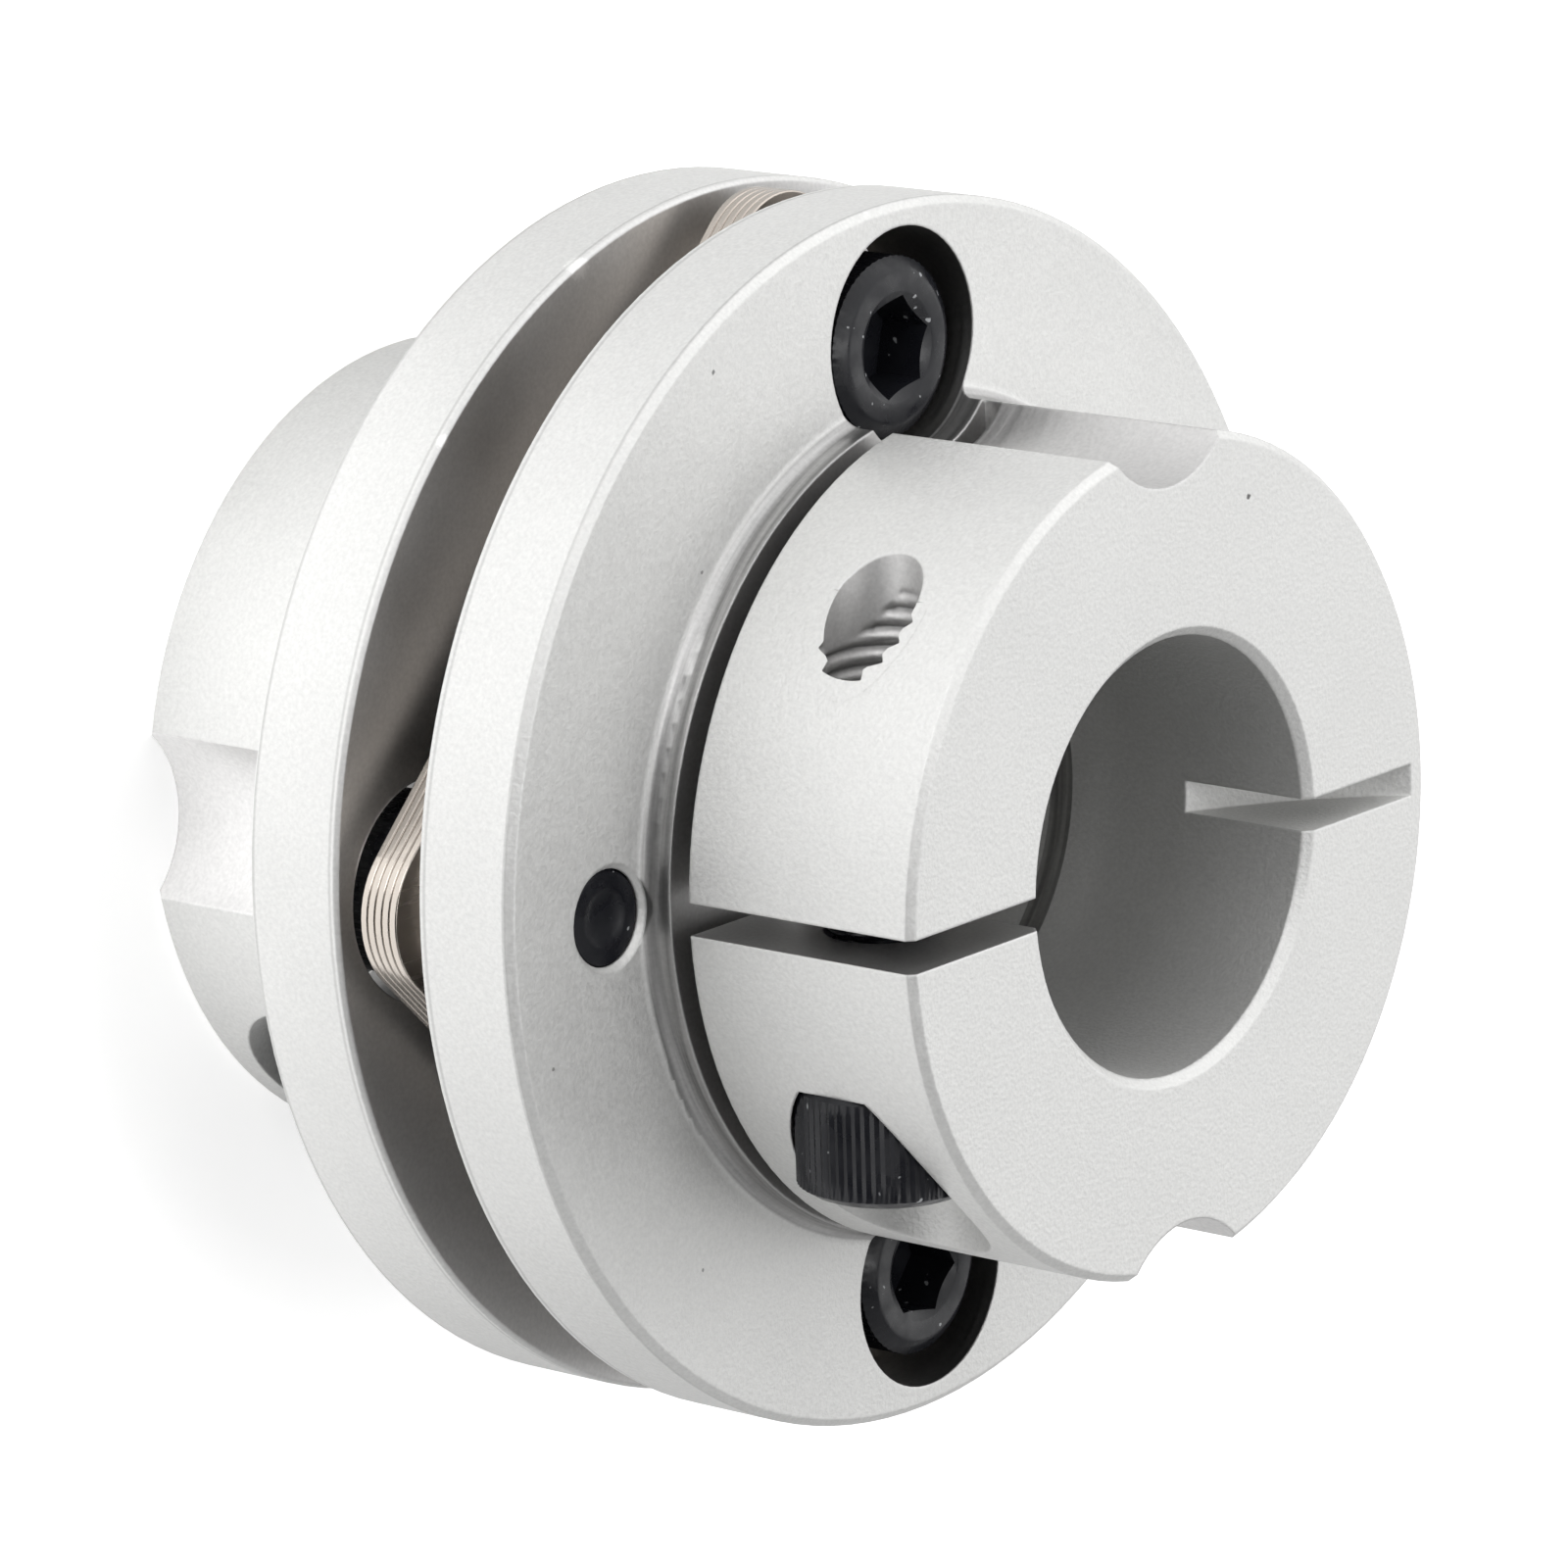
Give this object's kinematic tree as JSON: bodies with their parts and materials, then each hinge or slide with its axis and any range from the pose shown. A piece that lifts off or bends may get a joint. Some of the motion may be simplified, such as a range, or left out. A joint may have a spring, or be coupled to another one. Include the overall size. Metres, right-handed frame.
{
  "type": "disc coupling",
  "caption": "Flexible disc coupling: two slit clamp hubs of aluminium joined through a pack of thin steel leaves, for driving one shaft from another in line.",
  "frame": {"origin": "middle of the rear hub's end face, on which the coupling stands", "axes": "+Z along the shaft axis from the rear hub to the front hub; -X towards the front hub's clamp slit; -Y towards the rear hub's clamp slit"},
  "size_m": [0.068, 0.068, 0.0541],
  "materials": {
    "hub_aluminium": "fine bead-blasted, clear anodised",
    "leaf_steel": "rolled stainless spring steel, stamped edges",
    "washer_steel": "turned stainless steel",
    "screw_black": "black oxide"
  },
  "bodies": {
    "root": {"front_hub": "hub_aluminium", "rear_hub": "hub_aluminium", "disc_leaf_1": "leaf_steel", "disc_leaf_2": "leaf_steel", "disc_leaf_3": "leaf_steel", "disc_leaf_4": "leaf_steel", "disc_leaf_5": "leaf_steel", "rear_washer_1": "washer_steel", "rear_washer_2": "washer_steel", "rear_washer_3": "washer_steel", "rear_washer_4": "washer_steel", "front_washer_1": "washer_steel", "front_washer_2": "washer_steel", "front_washer_3": "washer_steel", "front_washer_4": "washer_steel", "front_pack_screw_1": "screw_black", "front_pack_screw_2": "screw_black", "rear_pack_screw_1": "screw_black", "rear_pack_screw_2": "screw_black", "front_clamp_screw": "screw_black", "rear_clamp_screw": "screw_black"}
  },
  "joints": []
}
